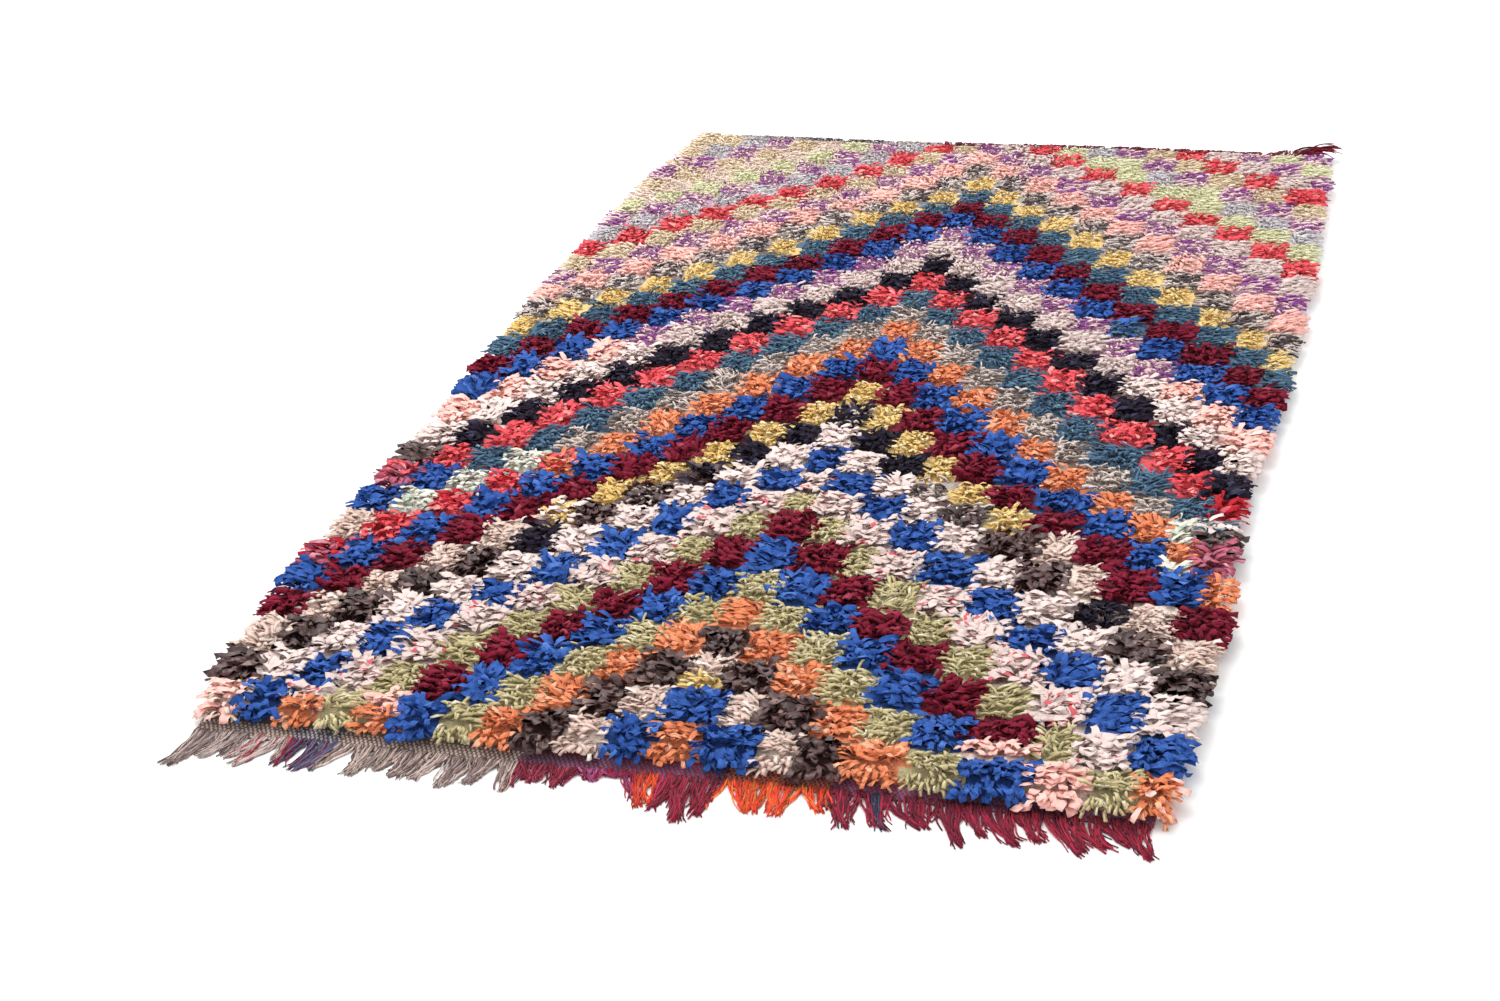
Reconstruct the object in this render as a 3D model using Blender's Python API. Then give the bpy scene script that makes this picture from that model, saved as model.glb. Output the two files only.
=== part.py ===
"""A rag-pile rug lying flat on the floor, in metres: +X across, +Y to the far end, +Z up.

The pile and its woven ground are one lumpy slab, with locks of pile along both sides.
At each end lies a narrow woven band, parted from the slab, with its fringe fused to it.
"""

from collections import namedtuple

import bmesh
import bpy
import numpy as np

# The pile is knotted in blocks: columns across, and rows from the near end to the far end.
COLUMNS = 23
ROW_DEPTHS = (
    0.077, 0.091, 0.091, 0.085, 0.078, 0.091, 0.098, 0.088, 0.078, 0.074,
    0.085, 0.088, 0.091, 0.095, 0.088, 0.088, 0.085, 0.072, 0.078, 0.083,
    0.081, 0.088, 0.081, 0.071, 0.061, 0.071, 0.078, 0.068, 0.064, 0.086,
)
PILE_LENGTH = sum(ROW_DEPTHS)

# How far the pile reaches to each side of the middle, lock tips included.
SideStation = namedtuple("SideStation", "along left right")
SIDE_STATIONS = (
    SideStation(along=0.00, left=0.640, right=0.642),
    SideStation(along=0.10, left=0.652, right=0.646),
    SideStation(along=0.20, left=0.670, right=0.648),
    SideStation(along=0.30, left=0.694, right=0.656),
    SideStation(along=0.50, left=0.708, right=0.662),
    SideStation(along=0.60, left=0.696, right=0.646),
    SideStation(along=0.80, left=0.694, right=0.646),
    SideStation(along=0.90, left=0.678, right=0.648),
    SideStation(along=1.10, left=0.695, right=0.668),
    SideStation(along=1.30, left=0.710, right=0.678),
    SideStation(along=1.60, left=0.717, right=0.672),
    SideStation(along=1.90, left=0.717, right=0.678),
    SideStation(along=2.20, left=0.704, right=0.668),
    SideStation(along=2.30, left=0.682, right=0.670),
    SideStation(along=2.46, left=0.672, right=0.648),
)

# Heights of the pile above the floor
BLOCK_HEIGHT = 0.028
BLOCK_HEIGHT_SPREAD = 0.003
FURROW_HEIGHT = 0.021
CORNER_HEIGHT = 0.017
RIM_HEIGHT = 0.015
FURROW_SPREAD = 0.0012

# The edge of the slab in plan
RIM_BULGE = 0.006
END_WAVE = 0.004
END_WAVE_TURNS = 1.3

# Locks of pile along the sides, one for each half block
LOCK_LENGTH = 0.026
SHORTEST_LOCK = 0.55
LOCK_LEAN = 0.15

# Woven bands and fringe at the ends
PARTING = 0.0003
BAND_THICKNESS = 0.004
STRAND_ROOT = 0.0058

# A run of fringe starts at a share of the band, from its left end. Lean is a strand's
# drift toward +X for each metre of its length. A run of no length is bare.
FringeRun = namedtuple("FringeRun", "start length lean")
NEAR_BAND_WIDTH = 0.036
NEAR_STRANDS = 116
NEAR_RUNS = (
    FringeRun(start=0.000, length=0.066, lean=-0.60),
    FringeRun(start=0.090, length=0.048, lean=-0.45),
    FringeRun(start=0.145, length=0.060, lean=-0.36),
    FringeRun(start=0.200, length=0.050, lean=-0.30),
    FringeRun(start=0.330, length=0.034, lean=-0.12),
    FringeRun(start=0.430, length=0.000, lean=-0.06),
    FringeRun(start=0.470, length=0.070, lean=-0.04),
    FringeRun(start=0.590, length=0.052, lean=0.00),
    FringeRun(start=0.640, length=0.068, lean=0.02),
    FringeRun(start=0.760, length=0.058, lean=0.10),
    FringeRun(start=0.950, length=0.054, lean=0.20),
)
FAR_BAND_WIDTH = 0.020
FAR_STRANDS = 44
FAR_RUNS = (
    FringeRun(start=0.000, length=0.020, lean=-0.10),
    FringeRun(start=0.450, length=0.016, lean=0.00),
    FringeRun(start=0.930, length=0.034, lean=0.25),
)
STRAND_LENGTH_SPREAD = 0.18
STRAND_LEAN_SPREAD = 0.035

# How a lock or a strand thins on its way out: shares of its length, width and height
Step = namedtuple("Step", "out width height")
LOCK_STEPS = (Step(out=0.45, width=0.66, height=0.80), Step(out=1.0, width=0.30, height=0.42))
STRAND_STEPS = (Step(out=0.50, width=0.92, height=0.85), Step(out=1.0, width=0.48, height=0.50))

PILE_COLOUR = (0.36, 0.16, 0.15)
NEAR_FRINGE_COLOUR = (0.30, 0.05, 0.06)
FAR_FRINGE_COLOUR = (0.12, 0.04, 0.06)
CLOTH_ROUGHNESS = 0.9


def side_reach(along, side):
    """How far the slab itself reaches to one side, without its locks."""
    stations = [station.along for station in SIDE_STATIONS]
    reaches = [getattr(station, side) for station in SIDE_STATIONS]
    return np.interp(along, stations, reaches) - LOCK_LENGTH


def end_shift(x):
    """The gentle wave of both ends: how far toward the far end the cloth lies at x."""
    return END_WAVE * np.sin(END_WAVE_TURNS * 2 * np.pi * x)


def halved(lines):
    """The lines with the middle of each gap put between them."""
    lines = np.asarray(lines)
    both = np.empty(2 * len(lines) - 1)
    both[0::2] = lines
    both[1::2] = (lines[1:] + lines[:-1]) / 2
    return both


def pile_points(rng):
    """A grid of points over the pile, two to a block each way, highest at block middles."""
    along = halved(np.concatenate([[0.0], np.cumsum(ROW_DEPTHS)]))
    share = np.linspace(-1.0, 1.0, 2 * COLUMNS + 1)
    row_middle = np.arange(len(along)) % 2 == 1
    column_middle = np.arange(len(share)) % 2 == 1
    bulge = np.where(row_middle, RIM_BULGE, -RIM_BULGE / 2)
    left = side_reach(along, "left") + bulge
    right = side_reach(along, "right") + bulge
    x = np.where(share < 0, np.outer(left, share), np.outer(right, share))
    y = (along - PILE_LENGTH / 2)[:, None] + end_shift(x)
    middles = row_middle[:, None].astype(int) + column_middle[None, :]
    z = np.choose(middles, (CORNER_HEIGHT, FURROW_HEIGHT, BLOCK_HEIGHT))
    spread = np.choose(middles, (FURROW_SPREAD, FURROW_SPREAD, BLOCK_HEIGHT_SPREAD))
    z = z + spread * rng.uniform(-1, 1, z.shape)
    rim = np.ones(z.shape, bool)
    rim[1:-1, 1:-1] = False
    return x, y, np.where(rim, RIM_HEIGHT + FURROW_SPREAD * rng.uniform(-1, 1, z.shape), z)


def draw_out(bm, face, length, lean, steps):
    """Draw a lock or strand out of an upright face: its rings stay on the floor and thin."""
    outward = face.normal.copy()
    outward.z = 0
    outward.normalize()
    along = outward.cross((0, 0, 1))
    root = face.calc_center_median()
    root.z = 0
    middle = root
    width, height = 1.0, 1.0
    for step in steps:
        ring = bmesh.ops.extrude_discrete_faces(bm, faces=[face])["faces"]
        face = ring[0]
        reach = step.out * length
        place = root + outward * reach + along * lean * reach
        for vert in face.verts:
            aside = (vert.co - middle).dot(along) * step.width / width
            up = vert.co.z * step.height / height
            vert.co = place + along * aside
            vert.co.z = up
        middle = place
        width, height = step.width, step.height


def add_object(bm, name, colour):
    """Close the work on a mesh and put it in the scene with its own material."""
    bmesh.ops.triangulate(bm, faces=bm.faces)
    mesh = bpy.data.meshes.new(name)
    bm.to_mesh(mesh)
    bm.free()
    material = bpy.data.materials.new(name)
    material.use_nodes = True
    shader = material.node_tree.nodes["Principled BSDF"]
    shader.inputs["Base Color"].default_value = (*colour, 1.0)
    shader.inputs["Roughness"].default_value = CLOTH_ROUGHNESS
    shader.inputs["Metallic"].default_value = 0.0
    mesh.materials.append(material)
    piece = bpy.data.objects.new(name, mesh)
    bpy.context.scene.collection.objects.link(piece)
    return piece


def rug_pile(rng):
    """The lumpy slab: block lumps on top, a flat underside, upright walls, side locks."""
    bm = bmesh.new()
    x, y, z = pile_points(rng)
    rows, columns = x.shape
    top = [[bm.verts.new((x[j, i], y[j, i], z[j, i])) for i in range(columns)] for j in range(rows)]
    for below, above in zip(top, top[1:]):
        for i in range(columns - 1):
            bm.faces.new((below[i], below[i + 1], above[i + 1], above[i]))
    near, far = top[0], top[-1][::-1]
    right = [row[-1] for row in top[1:-1]]
    left = [row[0] for row in top[-2:0:-1]]
    rim = near + right + far + left
    foot = [bm.verts.new((vert.co.x, vert.co.y, 0)) for vert in rim]
    bm.faces.new(foot[::-1])
    side_walls = []
    for k, vert in enumerate(rim):
        after = (k + 1) % len(rim)
        wall = bm.faces.new((foot[k], foot[after], rim[after], vert))
        if abs(foot[k].co.y - foot[after].co.y) > abs(foot[k].co.x - foot[after].co.x):
            side_walls.append(wall)
    bm.normal_update()
    for wall in side_walls:
        length = LOCK_LENGTH * rng.uniform(SHORTEST_LOCK, 1)
        lean = LOCK_LEAN * rng.uniform(-1, 1)
        draw_out(bm, wall, length, lean, LOCK_STEPS)
    return add_object(bm, "rug_pile", PILE_COLOUR)


def band_stations(strands, left, right):
    """Stations along a band: a strand's root between each odd station and the next."""
    pitch = (right - left) / strands
    roots = left + pitch * (np.arange(strands) + 0.5)
    stations = np.empty(2 * strands + 2)
    stations[0], stations[-1] = left, right
    stations[1:-1:2] = roots - STRAND_ROOT / 2
    stations[2:-1:2] = roots + STRAND_ROOT / 2
    return stations


def end_band(name, end, width, strands, runs, colour, rng):
    """A woven band beside one end of the slab, with a fringe drawn out of its outer edge.

    end is -1 for the near end and 1 for the far end. Each run of fringe gives the length
    of its strands, and the lean changes evenly from run to run.
    """
    along = 0.0 if end < 0 else PILE_LENGTH
    left, right = -side_reach(along, "left"), side_reach(along, "right")
    stations = band_stations(strands, left, right)
    inner = end * (PILE_LENGTH / 2 + PARTING) + end_shift(stations)
    outer = inner + end * width
    bm = bmesh.new()
    rings = []
    for x, near_slab, away in zip(stations, inner, outer):
        corners = ((near_slab, 0), (away, 0), (away, BAND_THICKNESS), (near_slab, BAND_THICKNESS))
        rings.append([bm.verts.new((x, y, z)) for y, z in corners])
    outer_walls = []
    for ring, after in zip(rings, rings[1:]):
        walls = [bm.faces.new((ring[k], ring[(k + 1) % 4], after[(k + 1) % 4], after[k])) for k in range(4)]
        outer_walls.append(walls[1])
    bm.faces.new(rings[0][::-1])
    bm.faces.new(rings[-1])
    bmesh.ops.recalc_face_normals(bm, faces=bm.faces)
    starts = [run.start for run in runs]
    for wall in outer_walls[1::2]:
        share = (wall.calc_center_median().x - left) / (right - left)
        run = runs[np.searchsorted(starts, share, side="right") - 1]
        if run.length == 0:
            continue
        length = run.length * (1 + STRAND_LENGTH_SPREAD * rng.uniform(-1, 1))
        lean = np.interp(share, starts, [one.lean for one in runs])
        lean += STRAND_LEAN_SPREAD * rng.uniform(-1, 1)
        draw_out(bm, wall, length, end * lean, STRAND_STEPS)
    return add_object(bm, name, colour)


def centre(pieces):
    """Bring the middle of the whole rug's box to x = y = 0, with the floor at z = 0."""
    corners = np.array([vert.co for piece in pieces for vert in piece.data.vertices])
    middle = (corners.min(axis=0) + corners.max(axis=0)) / 2
    for piece in pieces:
        for vert in piece.data.vertices:
            vert.co.x -= middle[0]
            vert.co.y -= middle[1]


def main():
    for leftover in list(bpy.data.objects):
        bpy.data.objects.remove(leftover, do_unlink=True)
    rng = np.random.default_rng(23)
    pile = rug_pile(rng)
    near = end_band(
        "near_fringe", -1, NEAR_BAND_WIDTH, NEAR_STRANDS, NEAR_RUNS, NEAR_FRINGE_COLOUR, rng
    )
    far = end_band("far_fringe", 1, FAR_BAND_WIDTH, FAR_STRANDS, FAR_RUNS, FAR_FRINGE_COLOUR, rng)
    centre((pile, near, far))


main()
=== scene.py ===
"""The looks of a rag-pile rug that lies flat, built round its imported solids, in metres.

+X runs across the rug, +Y from the near end to the far end, and +Z up out of the pile.
The rug is a woven ground with rag strips knotted into it in blocks. The blocks make nested
stepped chevrons: a block's cloth goes by its row plus its distance from the middle column.
"""

import math
from collections import namedtuple

import bpy
import numpy as np
from mathutils import Matrix


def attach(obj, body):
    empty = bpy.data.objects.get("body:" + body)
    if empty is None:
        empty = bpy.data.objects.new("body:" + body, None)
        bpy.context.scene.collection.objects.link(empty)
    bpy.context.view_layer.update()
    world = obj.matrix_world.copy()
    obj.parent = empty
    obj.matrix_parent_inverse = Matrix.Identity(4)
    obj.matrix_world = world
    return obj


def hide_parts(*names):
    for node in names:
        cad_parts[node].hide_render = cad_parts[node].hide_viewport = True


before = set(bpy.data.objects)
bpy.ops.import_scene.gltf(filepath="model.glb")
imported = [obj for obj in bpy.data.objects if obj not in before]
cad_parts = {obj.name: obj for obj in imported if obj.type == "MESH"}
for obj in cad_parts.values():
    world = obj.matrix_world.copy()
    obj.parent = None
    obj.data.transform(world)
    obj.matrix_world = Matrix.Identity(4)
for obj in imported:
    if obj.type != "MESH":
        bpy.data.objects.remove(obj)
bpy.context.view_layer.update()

# The middle of the pile's pattern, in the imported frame
PATTERN_X = 0.0195
PATTERN_Y = 0.0331

# The depth of each row of blocks, from the near end to the far end
ROW_DEPTHS = (
    0.077, 0.091, 0.091, 0.085, 0.078, 0.091, 0.098, 0.088, 0.078, 0.074,
    0.085, 0.088, 0.091, 0.095, 0.088, 0.088, 0.085, 0.072, 0.078, 0.083,
    0.081, 0.088, 0.081, 0.071, 0.061, 0.071, 0.078, 0.068, 0.064, 0.086,
)
PILE_LENGTH = sum(ROW_DEPTHS)

# How far the pile reaches to the left and right of its middle, tips of the strips included,
# at places along it from the near end
SideStation = namedtuple("SideStation", "along left right")
SIDE_STATIONS = tuple(SideStation(*row) for row in (
    (0.00, 0.652, 0.650),
    (0.10, 0.664, 0.648),
    (0.20, 0.674, 0.650),
    (0.30, 0.684, 0.656),
    (0.50, 0.692, 0.668),
    (0.60, 0.682, 0.650),
    (0.80, 0.680, 0.648),
    (0.90, 0.668, 0.648),
    (1.10, 0.682, 0.662),
    (1.30, 0.696, 0.672),
    (1.60, 0.698, 0.676),
    (1.90, 0.694, 0.676),
    (2.20, 0.684, 0.668),
    (2.30, 0.662, 0.666),
    (2.46, 0.648, 0.648),
))
# How far the strips' tips stand past the woven ground on the right, and the ground's own
# inset on the left
OVERHANG = 0.026
BAND_INSET_LEFT = 0.006
# Cloths whose knots keep to the middle of their blocks, and by how much
GATHERED = {"yellow": 0.74, "sky": 0.88}
# The gentle wave of both ends: its height, and its turns in a metre
END_WAVE = 0.004
END_WAVE_TURNS = 1.3

# Columns on each side of the middle line. The right side gains two on the way up: each
# entry gives a last row and how many columns the rows up to it have.
LEFT_COLUMNS = 11.5
ColumnRun = namedtuple("ColumnRun", "last_row columns")
RIGHT_COLUMNS = (
    ColumnRun(0, 9.6),
    ColumnRun(5, 9.5),
    ColumnRun(6, 10.2),
    ColumnRun(25, 10.5),
    ColumnRun(26, 10.8),
    ColumnRun(27, 11.2),
    ColumnRun(29, 11.5),
)
# The right side's columns widen outwards by this power; in the last rows the middle line drifts
RIGHT_SQUEEZE = 1.05
MIDDLE_DRIFT = {27: -0.020, 28: -0.024, 29: -0.025}
# Where the right side's columns part in some rows: millimetres further out than even places
RIGHT_SHIFTS = {
    0: (2, 23, 9, 2, 13, 7, 33, 33, 28, 0),
    1: (20, 6, 14, 2, 2, 0, 26, 2, 0, 0),
    6: (0, 15, 0, 2, 25, 8, 14, 3, 5, 8, 0),
    7: (14, 5, 7, 15, 20, 42, 30, 44, 26, 11, 0),
    8: (0, 5, 15, 5, 17, 15, 28, 37, 29, 7, 0),
    9: (-3, 15, 5, 3, 5, 9, 37, 27, 21, 14, 0),
    10: (2, 2, 7, 0, 4, 15, 8, 14, 8, 2, 0),
    11: (0, 2, 2, 8, 15, 2, -2, 24, 19, 5, 0),
    12: (0, -6, -7, 5, 7, 2, -1, 18, -2, -9, 0),
    15: (0, 1, 3, 8, -1, 13, 0, 10, 24, 16, 0),
    16: (0, 1, 2, -1, -2, 13, -3, 6, 27, 14, 0),
    17: (0, 4, 3, 3, 0, 4, -1, 20, 22, 4, 0),
    18: (0, 3, -4, 0, 0, 0, 5, 19, 3, 3, 0),
}

# The rows aren't woven level: how far they sag toward the near end, in millimetres, at five
# even places from the left side to the right, for some of the rows. The places are
# SAG_STEP apart and the third is at the middle.
SAG_STEP = 0.34
SAG_PLACES = 5
Sag = namedtuple("Sag", "row places")
SAGS = (
    Sag(0.0, (-12, -10, -4, 6, 16)),
    Sag(3.5, (-8, -12, 0, 8, 15)),
    Sag(5.5, (-5, -3, 0, 3, 18)),
    Sag(8.5, (0, 0, 0, 12, 0)),
    Sag(10.5, (-3, -10, 5, 13, 2)),
    Sag(12.5, (-15, -20, 8, 12, 12)),
    Sag(14.5, (-14, 0, 10, 15, 30)),
    Sag(16.5, (-12, 0, 12, 28, 60)),
    Sag(18.5, (-3, 4, 14, 24, 46)),
    Sag(20.5, (8, 26, 17, 30, 40)),
    Sag(22.5, (14, 42, 18, 35, 45)),
    Sag(24.5, (20, 30, 20, 32, 38)),
    Sag(26.5, (24, 40, 20, 28, 27)),
    Sag(28.5, (20, 38, 16, 18, 18)),
    Sag(30.0, (0, 8, 0, 4, 0)),
)

# Heights above the floor: the ground's top, the pile's foot between and on the blocks, how
# much it rises under pale cloths, and the highest and lowest that a strip comes
GROUND_THICKNESS = 0.0030
FOOT_LOW = 0.0180
FOOT_HIGH = 0.0230
PALE_FOOT_RISE = 0.0042
FOOT_NOISE = 0.0015
HIGHEST_TIP = 0.0385
LOWEST_EDGE = 0.0007
# How far the foot keeps in from the pile's sides, its near end and its far end
FOOT_INSET = 0.020
NEAR_INSET = 0.018
FAR_INSET = 0.004
# The share of its height that the pile loses toward its far edge, and how far from the edge
# that starts, at places across the rug
FAR_FALL = 0.70
FAR_FALL_PLACES = (-0.62, -0.48, -0.20, -0.08, 0.0, 0.60)
FAR_FALL_STARTS = (0.030, 0.075, 0.080, 0.085, 0.060, 0.072)

# The cloths that the strips are torn from. Colours are sRGB; width and length are in
# millimetres, and count is the number of strips in a block of middling size. An accent is a
# second colour that a share of the strips has; marl flecks it through every strip. Curl is
# the rise of a strip's middle over its edges and puff half its thickness there, as shares of
# its width. A strip has sides points round it, and edges says whether its edges are crisp;
# rough and sheen are its finish.
Cloth = namedtuple(
    "Cloth",
    "name light deep accent share marl width length count curl puff sides edges rough sheen",
)
CLOTHS = tuple(Cloth(*row) for row in (
    ("blue", "#426bbd", "#1e448b", "#4e79c6", 0.06, 0, 10.5, 24, 43, 0.22, 0.06, 4, 1, 0.85, 0.1),
    ("burgundy", "#92203a", "#621020", "#a03c50", 0.06, 0, 10.0, 23, 46, 0.22, 0.1, 4, 0, 0.95, 0.2),
    ("ecru", "#ead0c4", "#d2b6a9", "#f2e0d8", 0.12, 0, 7.5, 18, 66, 0.24, 0.12, 4, 0, 0.92, 0.04),
    ("print", "#dcc9c4", "#d4bfb9", "#cc5c66", 0.07, 0, 11.0, 24, 60, 0.16, 0.07, 4, 1, 0.9, 0.04),
    ("white", "#e4d1cc", "#dac6c1", "#eadad5", 0.12, 0, 11.0, 24, 60, 0.16, 0.07, 4, 1, 0.9, 0.04),
    ("brown", "#644240", "#301d1c", "#84655f", 0.08, 0, 12.0, 26, 38, 0.3, 0.07, 4, 1, 0.4, 0.03),
    ("green", "#dccfa2", "#bdb182", "#e6dcbc", 0.12, 0, 5.6, 20, 62, 0.34, 0.1, 3, 0, 0.94, 0.12),
    ("orange", "#f49e74", "#e07e52", "#f8b894", 0.14, 0, 7.0, 19, 56, 0.24, 0.1, 4, 1, 0.88, 0.08),
    ("salmon", "#fcc9be", "#f3b8ae", "#fdd4cb", 0.12, 0, 11.0, 23, 50, 0.18, 0.06, 4, 1, 0.9, 0.05),
    ("yellow", "#fcdd98", "#f2ca78", "#fceab8", 0.18, 0, 6.6, 16, 56, 0.24, 0.1, 4, 0, 0.92, 0.06),
    ("navy", "#2f2638", "#19131f", "#3c3b55", 0.12, 0, 8.5, 24, 46, 0.22, 0.08, 4, 1, 0.85, 0.08),
    ("teal", "#60809b", "#445e77", "#7396a6", 0.12, 0, 5.6, 22, 56, 0.34, 0.1, 3, 0, 0.92, 0.12),
    ("coral", "#f4676e", "#e04c56", "#f8a09a", 0.12, 0, 8.0, 22, 46, 0.2, 0.08, 4, 1, 0.9, 0.08),
    ("crimson", "#d0303c", "#a81c28", "#e46a74", 0.12, 0, 8.0, 22, 46, 0.2, 0.08, 4, 1, 0.9, 0.08),
    ("rose", "#c66c82", "#a04a60", "#d892a1", 0.12, 0, 8.5, 26, 46, 0.2, 0.08, 4, 1, 0.9, 0.08),
    ("stone", "#e4d6ce", "#cabbb2", "#6e625e", 0.38, 1, 5.0, 20, 62, 0.34, 0.1, 3, 0, 0.94, 0.08),
    ("charcoal", "#ecdfd8", "#cec0ba", "#4c4246", 0.45, 1, 5.4, 20, 60, 0.34, 0.1, 3, 0, 0.94, 0.08),
    ("lilac", "#f4dcd8", "#e8c6c8", "#944a98", 0.5, 1, 5.6, 20, 56, 0.34, 0.1, 3, 0, 0.92, 0.08),
    ("mint", "#ebe8dc", "#d2d2c2", "#b5c0ae", 0.12, 0, 8.0, 22, 46, 0.2, 0.08, 4, 1, 0.9, 0.05),
    ("sage", "#e8d6b8", "#d2bc9a", "#ecdcc8", 0.25, 0, 5.6, 20, 56, 0.34, 0.1, 3, 0, 0.92, 0.08),
    ("tan", "#ecd8bc", "#dac4a4", "#f0e0ca", 0.25, 0, 5.6, 20, 56, 0.34, 0.1, 3, 0, 0.92, 0.08),
    ("lime", "#e8e4c2", "#d6d6a8", "#eeeed2", 0.15, 0, 5.6, 20, 56, 0.34, 0.1, 3, 0, 0.92, 0.08),
    ("sky", "#d9d2d4", "#bfbabf", "#e2e0e2", 0.15, 0, 5.6, 20, 56, 0.34, 0.1, 3, 0, 0.92, 0.08),
    ("blush", "#eed8ca", "#e2caba", "#f2ded4", 0.18, 0, 5.8, 20, 56, 0.3, 0.1, 4, 0, 0.9, 0.06),
))
CLOTH = {cloth.name: cloth for cloth in CLOTHS}
# A cloth is pale when the least of its linear red, green and blue is above this
PALE_FROM = 0.45

# The cloth of each band, from the band at the middle of the near end outwards, and of the
# bands past those on the left and on the right
BANDS = (
    "orange", "blue", "ecru", "brown", "orange", "green", "blue", "burgundy", "green", "print",
    "blue", "white", "brown", "yellow", "burgundy", "blue", "orange", "stone", "teal", "coral",
    "navy", "white", "lilac", "blue", "burgundy", "teal", "yellow", "charcoal", "salmon", "lilac",
)
LEFT_BANDS = (
    "sage", "coral", "sky", "lilac", "lime", "blush", "tan", "lilac", "sky", "tan", "tan",
)
RIGHT_BANDS = (
    "white", "coral", "lime", "sky", "lilac", "sage", "coral", "white", "lilac", "lime", "lilac",
)

# Where the knotter ran out of a cloth or changed to another: the band, the side (-1 left,
# 1 right, 0 both), the first and last column of the change, the new cloth, a second cloth
# mixed in with it, and the second one's share of the strips.
Change = namedtuple("Change", "band side first last cloth second share", defaults=(None, 0))
CHANGES = tuple(Change(*row) for row in (
    (7, 0, 7, 7, "salmon"),
    (9, 1, 9, 9, "orange", "salmon", 0.08),
    (9, 1, 8, 8, "white", "print", 0.4),
    (11, -1, 11, 11, "salmon", "blush", 0.5),
    (12, 0, 0, 0, "navy", "stone", 0.45),
    (12, 0, 1, 2, "navy"),
    (12, -1, 3, 3, "brown", "navy", 0.5),
    (12, 1, 3, 3, "stone", "charcoal", 0.3),
    (12, -1, 4, 4, "brown", "stone", 0.45),
    (12, 1, 4, 4, "charcoal", "brown", 0.4),
    (12, -1, 6, 6, "navy"),
    (12, 1, 7, 7, "navy", "brown", 0.2),
    (13, -1, 6, 6, "yellow", "white", 0.4),
    (13, 1, 6, 11, "ecru"),
    (13, -1, 7, 11, "ecru"),
    (16, -1, 7, 7, "orange", "coral", 0.5),
    (16, -1, 8, 10, "coral", "crimson", 0.3),
    (16, -1, 11, 11, "rose", "crimson", 0.5),
    (17, -1, 8, 10, "mint", "stone", 0.15),
    (17, -1, 11, 11, "ecru"),
    (17, 1, 9, 9, "mint"),
    (17, 1, 10, 10, "rose"),
    (18, -1, 10, 11, "blue"),
    (18, 1, 10, 10, "white", "teal", 0.5),
    (19, -1, 11, 11, "rose", "coral", 0.5),
    (19, 1, 10, 10, "crimson"),
    (20, -1, 11, 11, "brown", "stone", 0.3),
    (22, 0, 8, 11, "salmon"),
    (23, 1, 6, 6, "teal", "blue", 0.4),
    (33, 1, 5, 5, "lime"),
    (33, 1, 7, 7, "lime"),
    (38, -1, 11, 11, "tan", "lilac", 0.4),
))

# Blocks whose near part is of another cloth: that part's share of the block's depth
Part = namedtuple("Part", "row column cloth share")
PARTS = (
    Part(2, 0, "yellow", 0.45),
    Part(1, 6, "salmon", 0.42),
    Part(0, -7, "orange", 0.55),
    Part(0, -9, "orange", 0.60),
    Part(8, -11, "rose", 0.35),
    Part(8, 10, "brown", 0.40),
    Part(7, 9, "mint", 0.25),
)

# The woven end bands and the fringe, in runs that start at a share of the band from its left
# end. The two wefts make small checks, and a share of the yarns has the accent's colour.
# Length is the fringe's, in metres, and lean its drift toward +X.
Run = namedtuple("Run", "start weft second yarn accent share length lean")
NEAR_BAND_WIDTH = 0.020
NEAR_RUNS = (
    Run(0.000, "#6a5852", "#c6b0a4", "#b6a29c", "#7a6664", 0.45, 0.078, -0.30),
    Run(0.061, "#6a5852", "#c6b0a4", "#b8a49e", "#b02b40", 0.35, 0.068, -0.30),
    Run(0.113, "#484452", "#a9a0a4", "#5a5c7a", "#6e1c38", 0.40, 0.062, -0.28),
    Run(0.165, "#6a5852", "#c6b0a4", "#c0aaa0", "#806c6a", 0.45, 0.060, -0.20),
    Run(0.361, "#7c2238", "#6c6784", "#7a1a30", "#a03a52", 0.30, 0.046, -0.05),
    Run(0.422, "#7c2238", "#6c6784", "#b2558a", "#7a1a30", 0.40, 0.022, 0.00),
    Run(0.452, "#94294a", "#6c6784", "#b32a48", "#8c3560", 0.35, 0.008, 0.10),
    Run(0.484, "#94294a", "#6c6784", "#f0562c", "#d63c2c", 0.35, 0.066, 0.12),
    Run(0.508, "#94294a", "#6c6784", "#b32a48", "#8c3560", 0.35, 0.014, 0.20),
    Run(0.519, "#94294a", "#6c6784", "#8f1e36", "#6c142a", 0.40, 0.084, -0.05),
    Run(0.576, "#dd7036", "#4c4a64", "#e6482a", "#ec7c3a", 0.35, 0.064, 0.30),
    Run(0.682, "#94294a", "#6c6784", "#9e2440", "#781632", 0.40, 0.084, 0.30),
    Run(0.724, "#94294a", "#6c6784", "#2a2a44", "#3c3a56", 0.40, 0.090, 0.30),
    Run(0.734, "#94294a", "#6c6784", "#9e2440", "#781632", 0.40, 0.082, 0.30),
    Run(0.860, "#94294a", "#6c6784", "#a2263e", "#781632", 0.40, 0.076, 0.42),
    Run(0.950, "#94294a", "#6c6784", "#a2263e", "#781632", 0.40, 0.074, 0.55),
)
FAR_BAND_WIDTH = 0.023
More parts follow.
